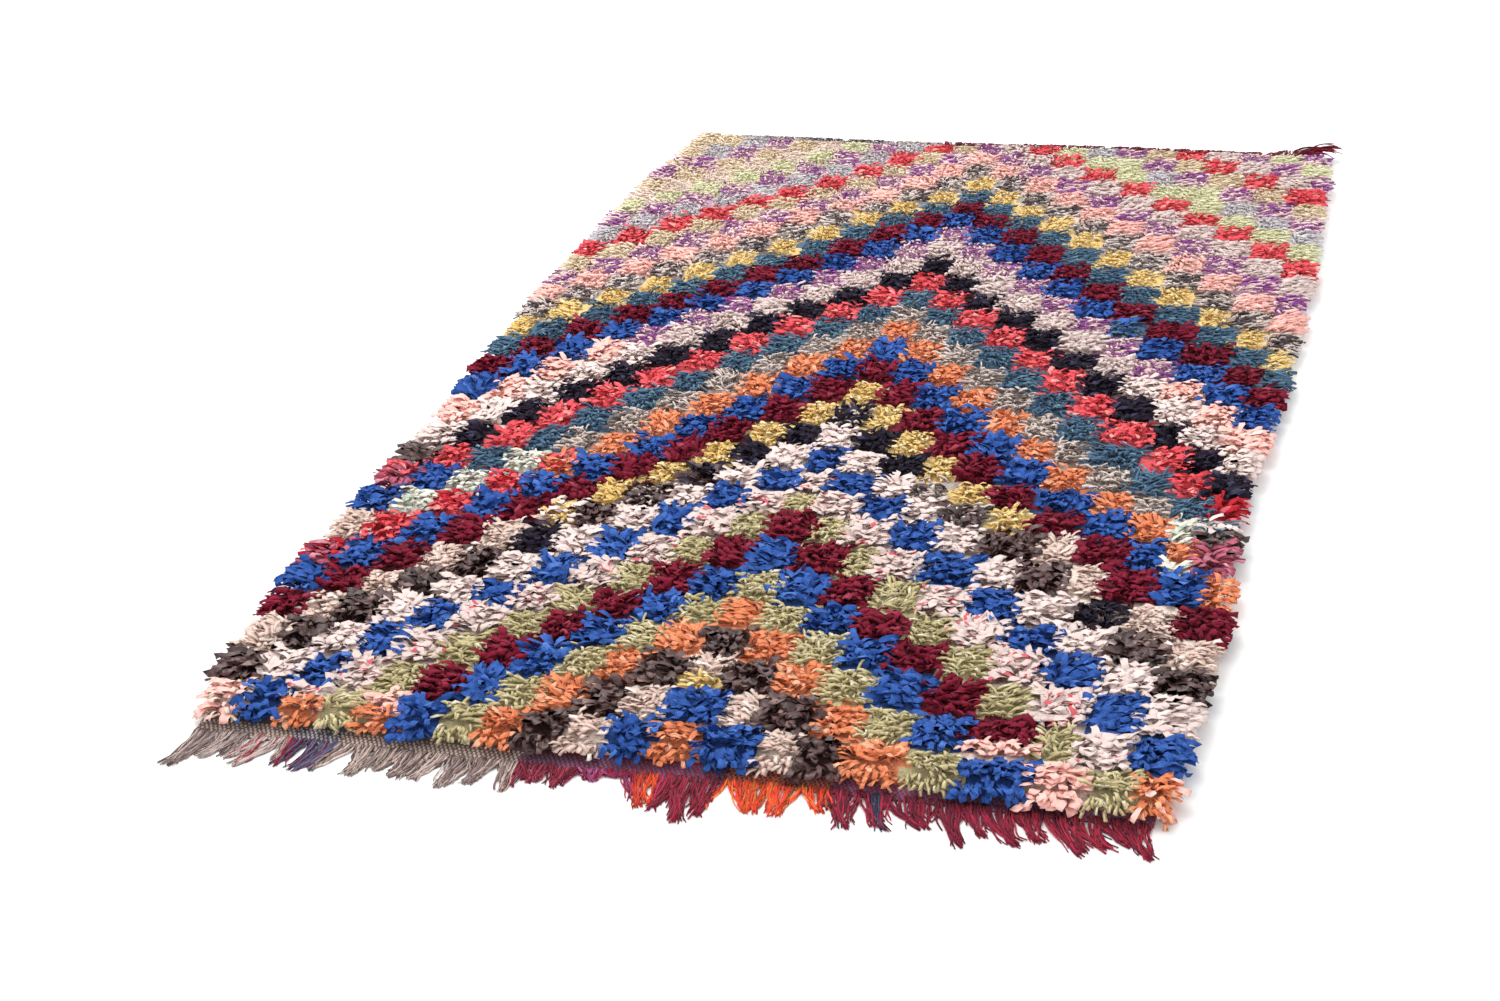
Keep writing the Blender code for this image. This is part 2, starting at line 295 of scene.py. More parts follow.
FAR_RUNS = (
    Run(0.000, "#6b6260", "#b3a8a2", "#8a7f7c", "#c0b4ae", 0.40, 0.012, -0.10),
    Run(0.180, "#453e40", "#8a807c", "#5a5052", "#8a807c", 0.40, 0.016, -0.10),
    Run(0.300, "#8c8280", "#c8bcb6", "#a89c98", "#d0c4be", 0.40, 0.010, 0.00),
    Run(0.400, "#6c1a2c", "#4c3e4c", "#70192c", "#8a2a3e", 0.30, 0.018, 0.00),
    Run(0.480, "#5e2430", "#7c6c70", "#6a2c3a", "#9c7c80", 0.40, 0.010, 0.00),
    Run(0.560, "#6c1a2c", "#4c3e4c", "#70192c", "#8a2a3e", 0.30, 0.016, 0.05),
    Run(0.930, "#6c1a2c", "#4c3e4c", "#7a1b30", "#983044", 0.30, 0.036, 0.25),
)

# How long, broad and dense the strips are, row by row: the far half is knotted finer
ROW_MARKS = (0, 8, 16, 29)
LONG = (1.15, 1.10, 1.00, 0.95)
BROAD = (0.94, 0.92, 0.80, 0.74)
DENSITY = (1.0, 1.0, 1.08, 1.0)
# How many more strips the first row and the blocks at the sides have
FIRST_ROW_EXTRA = 0.45
SIDE_EXTRA = 0.25
# How strongly the strips lean away from their block's middle, row by row
RADIAL_ROWS = (0, 10, 20)
RADIAL = (1.0, 0.8, 0.45)
# The rows over which the near half's way of knotting turns into the far half's, and the
# share of its block that the knots fill in each
TURN_ROWS = (12, 20)
FILLED = (0.86, 0.96)
# The rows whose strips have more rings; past them the pale rags are round yarns, at most
# this broad in millimetres
NEAR_ROWS = 15
FAR_ROUND = 7.6
# Strips broader than this, in millimetres, have one ring more in those rows
BROAD_FROM = 9
# The share of its twist and crumple that a pale rag keeps, so that it stays evenly lit
PALE_TURNING = 0.45
CRUMPLE = 0.30
# The ranges of the strips' lengths, widths and curls, as shares of their cloth's own, the
# share of them that curl the other way, and how much they bend aside, in radians
LENGTH_RANGE = (0.80, 1.20)
WIDTH_RANGE = (0.75, 1.25)
CURL_RANGE = (0.4, 1.2)
CURLED_BACK = 0.25
BEND = 0.45
# How much a block's tone and a strip's own tone stray from the middle one
BLOCK_TONE = 0.13
STRIP_TONE = 0.22
# The area of a block of middling size, in square metres
TYPICAL_BLOCK = 0.0050
# How far a block's middle may be off, the share of a side block that its knots fill toward
# the rug's side, and how high the knots are
BLOCK_DRIFT = 0.003
SIDE_HOLD = 0.60
KNOT_HEIGHT = 0.0195
# How far a strip reaches over the floor, as a share of its length, and how much of the
# length it has no room for it gains by starting further back
REACH_SHARE = 0.72
STEP_BACK = 0.75
SHORTEST_STRIP = 0.012


# ---------------------------------------------------------------- numbers and meshes

def linear(code):
    """An sRGB code such as #ff8000 as linear red, green and blue."""
    share = np.array([int(code[i:i + 2], 16) for i in (1, 3, 5)]) / 255
    return np.where(share <= 0.04045, share / 12.92, ((share + 0.055) / 1.055) ** 2.4)


def side_reach(along, side):
    """How far the pile reaches to one side at a place along it, strip tips included."""
    stations = [station.along for station in SIDE_STATIONS]
    return np.interp(along, stations, [getattr(station, side) for station in SIDE_STATIONS])


def end_shift(x):
    """The gentle wave of both ends: its height * sin(its turns * 2 pi * x)."""
    return END_WAVE * np.sin(END_WAVE_TURNS * 2 * np.pi * x)


def sag(row, x):
    """How far the rows lie nearer than level, at row places and places x across the rug.

    SAGS is read between its rows, then between the two nearest of its five places.
    """
    rows = [entry.row for entry in SAGS]
    table = np.array([entry.places for entry in SAGS]) / 1000
    at_row = np.stack([np.interp(row, rows, table[:, place]) for place in range(SAG_PLACES)], -1)
    place = np.clip(np.asarray(x) / SAG_STEP + 2, 0, 3.999)
    left = place.astype(int)
    share = place - left
    ends = np.take_along_axis(at_row, np.stack([left, left + 1], -1), -1)
    return ends[..., 0] * (1 - share) + ends[..., 1] * share


def far_edge_fall(x, along):
    """How the pile's height falls toward the far end: a smooth step down from 1."""
    start = np.interp(x, FAR_FALL_PLACES, FAR_FALL_STARTS)
    share = np.clip((along - PILE_LENGTH + start) / start, 0, 1)
    return 1 - FAR_FALL * share * share * (3 - 2 * share)


def is_pale(cloth):
    """Whether a cloth is so pale that light passes on from strip to strip."""
    return min(linear(cloth.light)) > PALE_FROM


def is_fluffy(cloth):
    """Whether a cloth is a pale rag: it makes round soft strips in the far rows."""
    return is_pale(cloth) and cloth.sides == 4


def put_colours(mesh, name, domain, shades):
    """Write linear red, green and blue for each point or face corner into a mesh."""
    rgba = np.concatenate([shades, np.ones((len(shades), 1))], axis=1)
    attribute = mesh.attributes.new(name, "FLOAT_COLOR", domain)
    attribute.data.foreach_set("color", rgba.astype(np.float32).ravel())


def make_piece(name, points, faces, uv=None, values=None, colours=None):
    """Put points (n, 3) and faces, a list of (m, corners) arrays, into a smooth mesh piece.

    uv is one (m, corners, 2) array for each faces array, values are numbers for each point,
    and colours are linear red, green and blue for each face.
    """
    mesh = bpy.data.meshes.new(name)
    sizes = np.concatenate([np.full(len(part), part.shape[1]) for part in faces])
    corners = np.concatenate([part.ravel() for part in faces])
    mesh.vertices.add(len(points))
    mesh.vertices.foreach_set("co", np.ascontiguousarray(points, np.float32).ravel())
    mesh.loops.add(len(corners))
    mesh.loops.foreach_set("vertex_index", corners.astype(np.int32))
    mesh.polygons.add(len(sizes))
    starts = np.concatenate([[0], np.cumsum(sizes)[:-1]])
    mesh.polygons.foreach_set("loop_start", starts.astype(np.int32))
    mesh.update(calc_edges=True)
    mesh.polygons.foreach_set("use_smooth", np.ones(len(sizes), bool))
    if uv is not None:
        flat = np.concatenate([part.reshape(-1, 2) for part in uv])
        mesh.uv_layers.new(name="strip").data.foreach_set("uv", flat.astype(np.float32).ravel())
    for key, numbers in (values or {}).items():
        attribute = mesh.attributes.new(key, "FLOAT", "POINT")
        attribute.data.foreach_set("value", np.asarray(numbers, np.float32).ravel())
    for key, shades in (colours or {}).items():
        put_colours(mesh, key, "CORNER", np.repeat(shades, sizes, axis=0))
    piece = bpy.data.objects.new(name, mesh)
    bpy.context.scene.collection.objects.link(piece)
    return piece


def closed_downwards(top, low):
    """The points and faces of a grid of points (rows, wide, 3) closed to the height low.

    The faces are the grid's own squares, a wall straight down from its rim, and one underside.
    """
    rows, wide = top.shape[:2]
    number = np.arange(rows * wide).reshape(rows, wide)
    quads = np.stack([number[:-1, :-1], number[:-1, 1:], number[1:, 1:], number[1:, :-1]], -1)
    rim = np.concatenate([number[0], number[1:-1, -1], number[-1, ::-1], number[-2:0:-1, 0]])
    flat = top.reshape(-1, 3)
    foot = flat[rim].copy()
    foot[:, 2] = low
    below = rows * wide + np.arange(len(rim))
    wall = np.stack([below, np.roll(below, -1), np.roll(rim, -1), rim], -1)
    return np.concatenate([flat, foot]), [quads.reshape(-1, 4), wall, below[::-1][None, :]]


def face_middles(points, faces):
    """The mean of each face's corners."""
    return np.concatenate([points[part].mean(axis=1) for part in faces])


def row_lines():
    """Where the rows part, as distances from the near end: the running sum of their depths."""
    return np.concatenate([[0.0], np.cumsum(ROW_DEPTHS)])


# ---------------------------------------------------------------- strips and yarns

def profile_of(sides):
    """A strip's cross-section as shares of its width: across it, and the curl of each point.

    A rag strip has two edges and two creases, one over the other; a yarn has three corners.
    """
    if sides == 4:
        return np.array([-0.5, 0.0, 0.5, 0.0]), np.array([-0.5, 0.5, -0.5, 0.5])
    turn = np.arange(sides) * 2 * np.pi / sides
    return 0.5 * np.cos(turn), np.sin(turn)


def strip_points(root, heading, bend, lean, fall, length, width, curl, twist, rings, sides, rng,
                 taper, puff=0.1, crumple=0.45, rough_edge=0.10):
    """Points (n, rings, sides, 3) of strips that grow from their roots and fall over.

    At share s of its length a strip's run makes the angle lean + (fall - lean) * s^1.2 with
    the upright, toward the direction heading + bend * s, and the spine is the sum of those
    steps. The profile stands square to the run, turned about it by twist * s, and is
    carried along it. Its width grows from 3/4 at the root and goes to taper at the tip.
    """
    count = len(root)
    s = np.linspace(0, 1, rings)[None, :]
    angle = lean[:, None] + (fall - lean)[:, None] * s ** 1.2
    way = heading[:, None] + bend[:, None] * s
    run = np.stack([np.sin(angle) * np.cos(way), np.sin(angle) * np.sin(way), np.cos(angle)], -1)
    step = (length / (rings - 1))[:, None, None]
    spine = root[:, None, :] + np.concatenate(
        [np.zeros((count, 1, 3)), np.cumsum((run[:, 1:] + run[:, :-1]) / 2 * step, axis=1)], axis=1
    )
    across = np.stack([-np.sin(way), np.cos(way), np.zeros_like(way)], -1)
    face = np.cross(across, run)
    turn = twist[:, 0:1] + twist[:, 1:2] * s + crumple * rng.normal(size=(count, rings))
    side = across * np.cos(turn)[..., None] + face * np.sin(turn)[..., None]
    up = face * np.cos(turn)[..., None] - across * np.sin(turn)[..., None]
    share, rise = profile_of(sides)
    swell = 1 - (1 - taper) * s ** 2 - 0.25 * (1 - s) ** 3
    broad = width[:, None] * swell * rng.uniform(0.86, 1.14, (count, rings))
    jitter = 1 + rough_edge * rng.normal(size=(count, rings, sides))
    over = broad[:, :, None] * share * jitter
    if sides == 4:
        # edges fall and the creases rise by the curl; the puff parts the two creases
        lift = rise * curl[:, None, None] + np.array([0, -puff, 0, puff])
        lift = broad[:, :, None] * lift * (1 + 0.25 * rng.normal(size=(count, rings, 1)))
    else:
        lift = broad[:, :, None] * rise * 0.42 * np.ones((count, 1, 1))
    points = spine[:, :, None] + side[:, :, None] * over[..., None]
    points = points + up[:, :, None] * lift[..., None]
    # the tip is cut on a slant
    slant = rng.normal(size=count) * 0.35
    points[:, -1] += run[:, -1, None] * (over[:, -1] * slant[:, None])[..., None]
    return points


def tube_faces(count, rings, sides):
    """Walls and end caps of tubes whose points are numbered ring by ring."""
    start = np.arange(count)[:, None, None] * rings * sides
    here = np.arange(sides)[None, None, :]
    beside = (here + 1) % sides
    low = start + np.arange(rings - 1)[None, :, None] * sides
    high = low + sides
    wall = np.stack([low + here, low + beside, high + beside, high + here], -1).reshape(-1, 4)
    foot = start[:, 0] + np.arange(sides)[::-1]
    tip = start[:, 0] + (rings - 1) * sides + np.arange(sides)
    return wall, np.concatenate([foot, tip])


def tube_uv(count, rings, sides, length, width):
    """UV in centimetres for those walls and caps: round the strip, and along it."""
    here = np.arange(sides)
    ring = np.arange(rings - 1)
    span = (width * 100 * 2 / sides)[:, None, None]
    reach = (length * 100 / (rings - 1))[:, None, None]
    left = np.broadcast_to(here[None, None, :] * span, (count, rings - 1, sides))
    right = left + span
    low = np.broadcast_to(ring[None, :, None] * reach, (count, rings - 1, sides))
    high = low + reach
    wall = np.stack([np.stack([left, low], -1), np.stack([right, low], -1),
                     np.stack([right, high], -1), np.stack([left, high], -1)], -2)
    foot = np.stack([here[::-1][None] * span[:, 0], np.zeros((count, sides))], -1)
    whole = np.broadcast_to(length[:, None] * 100, (count, sides))
    tip = np.stack([here[None] * span[:, 0], whole], -1)
    return wall.reshape(-1, 4, 2), np.concatenate([foot, tip])


def faces_inward(points):
    """Whether the walls of strips (n, rings, sides, 3) face their own middles."""
    count, rings, sides, _ = points.shape
    wall, _ = tube_faces(count, rings, sides)
    a, b, c = (points.reshape(-1, 3)[wall[:, corner]] for corner in range(3))
    out = a - np.repeat(points.mean((1, 2)), (rings - 1) * sides, 0)
    return np.einsum("ij,ij->", out, np.cross(b - a, c - a)) < 0


def sharpen_edges(mesh):
    """Mark the two long edges of four-sided strips as sharp: points 0 and 2 of each ring."""
    ends = np.empty(len(mesh.edges) * 2, np.int32)
    mesh.edges.foreach_get("vertices", ends)
    low, high = ends.reshape(-1, 2).min(axis=1), ends.reshape(-1, 2).max(axis=1)
    sharp = (high - low == 4) & (low % 2 == 0)
    mesh.attributes.new("sharp_edge", "BOOLEAN", "EDGE").data.foreach_set("value", sharp)


class Batch:
    """Strips gathered for one joined mesh."""

    def __init__(self):
        self.points, self.faces, self.uv = [], {}, {}
        self.values = {"along": [], "tone": [], "tint": []}
        self.total = 0

    def add(self, points, length, width, tone, tint):
        """Take in strips of points (n, rings, sides, 3), with a tone and a tint for each."""
        count, rings, sides, _ = points.shape
        inward = faces_inward(points[:200])
        parts = tube_faces(count, rings, sides)
        for part, uv in zip(parts, tube_uv(count, rings, sides, length, width)):
            if inward:
                part, uv = part[:, ::-1], uv[:, ::-1]
            self.faces.setdefault(part.shape[1], []).append(part + self.total)
            self.uv.setdefault(part.shape[1], []).append(uv)
        self.points.append(points.reshape(-1, 3))
        s = np.broadcast_to(np.linspace(0, 1, rings)[None, :, None], (count, rings, sides))
        self.values["along"].append(s.ravel())
        self.values["tone"].append(np.repeat(tone, rings * sides))
        self.values["tint"].append(np.repeat(tint, rings * sides))
        self.total += points.size // 3

    def piece(self, name, folded=False):
        """The joined mesh as a piece, kept above the floor."""
        points = np.concatenate(self.points)
        points[:, 2] = np.clip(points[:, 2], LOWEST_EDGE, HIGHEST_TIP)
        order = sorted(self.faces)
        piece = make_piece(
            name, points, [np.concatenate(self.faces[size]) for size in order],
            uv=[np.concatenate(self.uv[size]) for size in order],
            values={key: np.concatenate(parts) for key, parts in self.values.items()},
        )
        if folded:
            sharpen_edges(piece.data)
        return piece


# ---------------------------------------------------------------- the knotted blocks

# A knotted block: its row, its middle and half its size, the side of the rug that it is at
# (-1 left, 1 right, 0 neither), its cloth, and the share of its strips that are of that cloth
Block = namedtuple("Block", "row x y half_width half_depth rim cloth share")


def cloths_at(row, column):
    """The cloths of one block and their shares of its strips."""
    away = abs(column)
    band = row + away
    beyond = LEFT_BANDS if column < 0 else RIGHT_BANDS
    found = BANDS[band] if band < len(BANDS) else beyond[band - len(BANDS)]
    mix = [(found, 1.0)]
    for change in CHANGES:
        sided = change.side == 0 or change.side * column > 0
        if change.band == band and sided and change.first <= away <= change.last:
            mix = [(change.cloth, 1.0 - change.share)]
            if change.second:
                mix.append((change.second, change.share))
    return mix


def column_edges(row, side):
    """Where the blocks of one side of a row part, as places across, from the middle line out.

    Of count columns, the middle one's half and the others whole, the n-th line lies at
    reach * ((n + 1/2) / count) ^ power, moved by the drift and by what RIGHT_SHIFTS lists.
    """
    lines = row_lines()
    middle = (lines[row] + lines[row + 1]) / 2
    drift = MIDDLE_DRIFT.get(row, 0.0)
    if side < 0:
        count, power = LEFT_COLUMNS, 1.0
    else:
        count = next(run.columns for run in RIGHT_COLUMNS if row <= run.last_row)
        power = RIGHT_SQUEEZE
    reach = side_reach(middle, "left" if side < 0 else "right") - side * drift
    last = int(round(count - 0.5))
    marks = np.append(np.arange(last) + 0.5, count)
    edges = drift + side * reach * (marks / count) ** power
    if side > 0 and row in RIGHT_SHIFTS:
        edges = edges + np.array(RIGHT_SHIFTS[row]) / 1000
    return edges


def knotted_blocks():
    """Every block of the pile, with its cloth; a block of two cloths is listed for each."""
    lines = row_lines() - PILE_LENGTH / 2
    parts = {(part.row, part.column): part for part in PARTS}
    blocks = []
    for row in range(len(ROW_DEPTHS)):
        left, right = column_edges(row, -1), column_edges(row, 1)
        edges = np.concatenate([left[::-1], right])
        middles = (edges[1:] + edges[:-1]) / 2
        nears = lines[row] - sag(np.full(len(middles), row), middles)
        fars = lines[row + 1] - sag(np.full(len(middles), row + 1), middles)
        for i, (low, high, near, far) in enumerate(zip(edges, edges[1:], nears, fars)):
            column = i + 1 - len(left)
            rim = -1 if i == 0 else 1 if i == len(edges) - 2 else 0
            part = parts.get((row, column))
            split = near + (far - near) * (part.share if part else 0)
            x, half = (low + high) / 2, (high - low) / 2
            y, depth = (split + far) / 2, (far - split) / 2
            for cloth, share in cloths_at(row, column):
                blocks.append(Block(row, x, y, half, depth, rim, cloth, share))
            if part:
                y, depth = (near + split) / 2, (split - near) / 2
                blocks.append(Block(row, x, y, half, depth, rim, part.cloth, 1.0))
    return blocks


def scatter(blocks, per_block, rng):
    """Even places in each block: an index into blocks, and u and v from -1 to 1.

    The n-th place is the fraction of start + n * (0.7549, 0.5698), which fills a square evenly.
    """
    owner = np.repeat(np.arange(len(blocks)), per_block)
    order = np.arange(owner.size) - np.repeat(np.cumsum(per_block) - per_block, per_block)
    start = rng.random((len(blocks), 2))[owner]
    place = (start + order[:, None] * np.array([0.7549, 0.5698])) % 1.0
    return owner, place[:, 0] * 2 - 1, place[:, 1] * 2 - 1


def room_ahead(heading, x, y, half):
    """How far it is from (x, y) to the edge of a block of those half sizes, along a heading."""
    ahead = []
    for step, place, size in ((np.cos(heading), x, half[:, 0]), (np.sin(heading), y, half[:, 1])):
        step = np.where(np.abs(step) < 1e-3, 1e-3, step)
        ahead.append((size * np.sign(step) - place) / step)
    return np.maximum(np.minimum(*ahead), 0)


def knot_strips(batch, cloth, blocks, rings, rng):
    """Knot one cloth's strips into its blocks.

    A strip grows from its place in the block and leans away from the block's middle, the
    more the nearer it is to the block's edge. Strips at the rug's sides lean out over them,
    and the first row's nearest strips lean over the near end. A strip that would reach past
    its block is cut to the room it has, and gains part of that back by starting further back.
    """
    if not blocks:
        return
    row = np.array([block.row for block in blocks], float)
    half = np.array([(block.half_width, block.half_depth) for block in blocks])
    middle = np.array([(block.x, block.y) for block in blocks])
    middle = middle + rng.uniform(-BLOCK_DRIFT, BLOCK_DRIFT, middle.shape)
    rim = np.array([block.rim for block in blocks], float)
    share = np.array([block.share for block in blocks])
    area = 4 * half[:, 0] * half[:, 1]
    density = np.interp(row, ROW_MARKS, DENSITY)
    density = density * (1 + FIRST_ROW_EXTRA * (row == 0)) * (1 + SIDE_EXTRA * np.abs(rim))
    per_block = cloth.count * share * density * area / TYPICAL_BLOCK
    owner, u, v = scatter(blocks, np.maximum(2, per_block.round().astype(int)), rng)
    n = owner.size

    # where each knot is: away from its block's edges, and from the rug's side
    edge = rim[owner]
    inner_u = np.where(u * edge > 0, u * SIDE_HOLD, u)
    filled = np.interp(row, TURN_ROWS, FILLED)[owner]
    x = middle[owner, 0] + half[owner, 0] * inner_u * filled * GATHERED.get(cloth.name, 1.0)
    y = middle[owner, 1] + half[owner, 1] * v * filled

    # which way its strip heads: out of the block, at random, to the right where the rug was
    # combed that way, over the rug's side, and mostly toward the near end
    out = np.minimum(np.hypot(u, v), 1.2) / 1.2
    pull = (0.15 + 0.75 * out ** 2) * np.interp(row, RADIAL_ROWS, RADIAL)[owner]
    far = np.interp(row, TURN_ROWS, (0.0, 1.0))[owner]
    combed = np.clip(x / 0.3, 0, 1) * (0.25 + 0.95 * far)
    spread = rng.normal(size=(n, 2)) * np.stack([0.80 - 0.48 * far, 0.38 - 0.10 * far], -1)
    block_lean = rng.normal(size=(len(blocks), 2))[owner] * (0.40 - 0.05 * far)[:, None]
    near_end = (row[owner] == 0) & (v < -0.2)
    y = y - 0.002 * near_end
    toward_x = u * pull + spread[:, 0] + block_lean[:, 0] + combed + edge * 1.5 * (u * edge > -0.2)
    toward_y = v * pull * np.where(v > 0, 0.1, 0.6) + spread[:, 1] + block_lean[:, 1] - 0.38
    toward_y = toward_y - 1.6 * near_end - 0.35 * far
    heading = np.arctan2(toward_y, toward_x)

    # how long and broad it is, and how much of that its block has room for
    length = cloth.length / 1000 * rng.uniform(*LENGTH_RANGE, n)
    length = length * np.interp(row, ROW_MARKS, LONG)[owner]
    width = cloth.width / 1000 * rng.uniform(*WIDTH_RANGE, n)
    width = width * np.interp(row, ROW_MARKS, BROAD)[owner]
    centred = length * (0.12 + 0.26 * far)
    x, y = x - np.cos(heading) * centred, y - np.sin(heading) * centred * (1 - near_end)
    room = room_ahead(heading, x - middle[owner, 0], y - middle[owner, 1], half[owner])
    margin = np.abs(rng.normal(size=n)) * 0.0035 + 0.001
    margin = margin + 0.016 * near_end + 0.003 * np.abs(edge)
    length = length * (1 + 0.12 * np.abs(edge))
    fits = (room + margin) / REACH_SHARE
    gained = STEP_BACK * np.maximum(length - fits, 0)
    x = x - np.cos(heading) * gained * REACH_SHARE
    y = y - np.sin(heading) * gained * REACH_SHARE
    length = np.clip(length, SHORTEST_STRIP, np.maximum(fits + gained, SHORTEST_STRIP))

    # how it stands: most strips lie down early, the others stand up before they fall over
    lying = rng.random(n) < 0.65 + 0.25 * far
    lean = np.where(lying, 0.85 + 0.35 * rng.random(n), 0.30 + 0.45 * rng.random(n))
    fall = np.where(lying, 1.40 + 0.40 * rng.random(n), 1.55 + 0.60 * rng.random(n))
    fall = fall + 0.35 * np.abs(edge) * (u * edge > 0.2) + near_end * rng.uniform(0.10, 0.85, n)
    high = KNOT_HEIGHT + 0.0040 * rng.random(n) + 0.003 * (1 - out)
    high = high - 0.012 * near_end * rng.random(n) - 0.003 * np.abs(edge) * (u * edge > 0.3)
    root = np.stack([x + PATTERN_X, y + end_shift(x) + PATTERN_Y, high], -1)
    turning = PALE_TURNING if is_fluffy(cloth) else 1.0
    twist = np.stack([rng.uniform(-0.4, 0.4, n), rng.normal(size=n) * 0.55], -1) * turning
    curl = cloth.curl * rng.uniform(*CURL_RANGE, n)
    curl = curl * np.where(rng.random(n) < CURLED_BACK, -1, 1)
    bend = rng.normal(size=n) * BEND
    points = strip_points(
        root, heading, bend, lean, fall, length, width, curl, twist, rings, cloth.sides, rng,
        taper=1.02, puff=cloth.puff, crumple=CRUMPLE * turning,
    )
    across, along = points[..., 0] - PATTERN_X, points[..., 1] - PATTERN_Y + PILE_LENGTH / 2
    points[..., 2] *= far_edge_fall(across, along)

    # how light it is: by its block and by itself
    block_tone = rng.normal(size=len(blocks))[owner] * BLOCK_TONE
    tone = np.clip(0.5 + block_tone + rng.normal(size=n) * STRIP_TONE, 0, 1)
    batch.add(points, length, width, tone, rng.random(n))


# ---------------------------------------------------------------- materials

class Value:
    """A socket in a material. Arithmetic on it adds Math nodes."""

    def __init__(self, shade, socket):
        self.shade, self.socket = shade, socket

    def math(self, operation, *others):
        """One Math node on those values."""
        return self.shade.add("ShaderNodeMath", {"operation": operation}, dict(enumerate(others)))

    def __add__(self, other):
        return self.math("ADD", self, other)

    def __radd__(self, other):
        return self.math("ADD", other, self)

    def __sub__(self, other):
        return self.math("SUBTRACT", self, other)

    def __rsub__(self, other):
        return self.math("SUBTRACT", other, self)

    def __mul__(self, other):
        return self.math("MULTIPLY", self, other)

    def __rmul__(self, other):
        return self.math("MULTIPLY", other, self)

    def __gt__(self, other):
        return self.math("GREATER_THAN", self, other)

    def clamped(self):
        """The value held between 0 and 1."""
        return self.shade.add("ShaderNodeClamp", {}, {0: self})

    def sine(self):
        """The sine of the value."""
        return self.math("SINE", self)


class Shade:
    """A material under construction, with its Principled shader."""

    def __init__(self, name, roughness, sheen, sheen_colour=(1, 1, 1)):
        self.material = bpy.data.materials.new(name)
        self.material.use_nodes = True
        self.tree = self.material.node_tree
        self.shader = self.tree.nodes["Principled BSDF"]
        self.shader.inputs["Roughness"].default_value = roughness
        self.shader.inputs["Specular IOR Level"].default_value = 0.12 if roughness > 0.6 else 0.5
        self.shader.inputs["Sheen Weight"].default_value = sheen
        self.shader.inputs["Sheen Roughness"].default_value = 0.5
        self.shader.inputs["Sheen Tint"].default_value = (*sheen_colour, 1)

    def put(self, socket, value):
        """Link a Value to a socket, or set the socket to a plain value."""
        if isinstance(value, Value):
            self.tree.links.new(value.socket, socket)
        elif hasattr(socket.default_value, "__len__") and len(socket.default_value) == 4:
            socket.default_value = (*value, 1) if len(value) == 3 else value
        else:
            socket.default_value = value

    def add(self, kind, settings, sockets, output=0):
        """Add a node: its kind, its settings, then what goes into its sockets."""
        node = self.tree.nodes.new(kind)
        for key, value in settings.items():
            setattr(node, key, value)
        for key, value in sockets.items():
            self.put(node.inputs[key], value)
        return Value(self, node.outputs[output])

    def place(self):
        """The point's place in the rug's frame."""
        return self.add("ShaderNodeTexCoord", {}, {}, "Object")

    def attribute(self, name, output="Fac"):
        """What the mesh says of each point under that name."""
        return self.add("ShaderNodeAttribute", {"attribute_name": name}, {}, output)

    def noise(self, vector, scale, detail=2.0, stretch=(1, 1, 1)):
        """Noise from 0 to 1 at so many lumps a metre, stretched along the axes."""
        if stretch != (1, 1, 1):
            settings = {"operation": "MULTIPLY"}
            vector = self.add("ShaderNodeVectorMath", settings, {0: vector, 1: stretch})
        sockets = {"Vector": vector, "Scale": scale, "Detail": detail}
        return self.add("ShaderNodeTexNoise", {}, sockets)

    def blend(self, factor, first, second, mode="MIX"):
        """A colour between two others."""
        return self.add(
            "ShaderNodeMix", {"data_type": "RGBA", "blend_type": mode, "clamp_factor": True},
            {0: factor, 6: first, 7: second}, 2,
        )

    def darkened(self, colour, value):
        """A colour multiplied by a number."""
        grey = self.add("ShaderNodeCombineColor", {}, {0: value, 1: value, 2: value})
        return self.blend(1.0, colour, grey, "MULTIPLY")

    def strip(self):
        """The place on a strip in centimetres: round it and along it."""
        return self.add("ShaderNodeUVMap", {"uv_map": "strip"}, {})

    def finish(self, colour, height, strength, distance):
        """Give the shader its colour and a bump of a height."""
        self.put(self.shader.inputs["Base Color"], colour)
        bump = self.add(
            "ShaderNodeBump", {}, {"Strength": strength, "Distance": distance, "Height": height}
        )
        self.put(self.shader.inputs["Normal"], bump)
        return self.material


# Painted shade between a cloth's strips: the colour's share at the root and what it gains to
# the tip, how dark its painted crease shade is and its tint of the deep colour, and the bump's
# strength
Depth = namedtuple("Depth", "root gain crease tint bump")
PALE_PAINTED_SHADE_AND_BUMP = Depth(0.91, 0.16, 0.18, (0.52, 0.42, 0.38), 0.3)
FULL_PAINTED_SHADE_AND_BUMP = Depth(0.75, 0.40, 0.50, (0.45, 0.42, 0.42), 0.6)


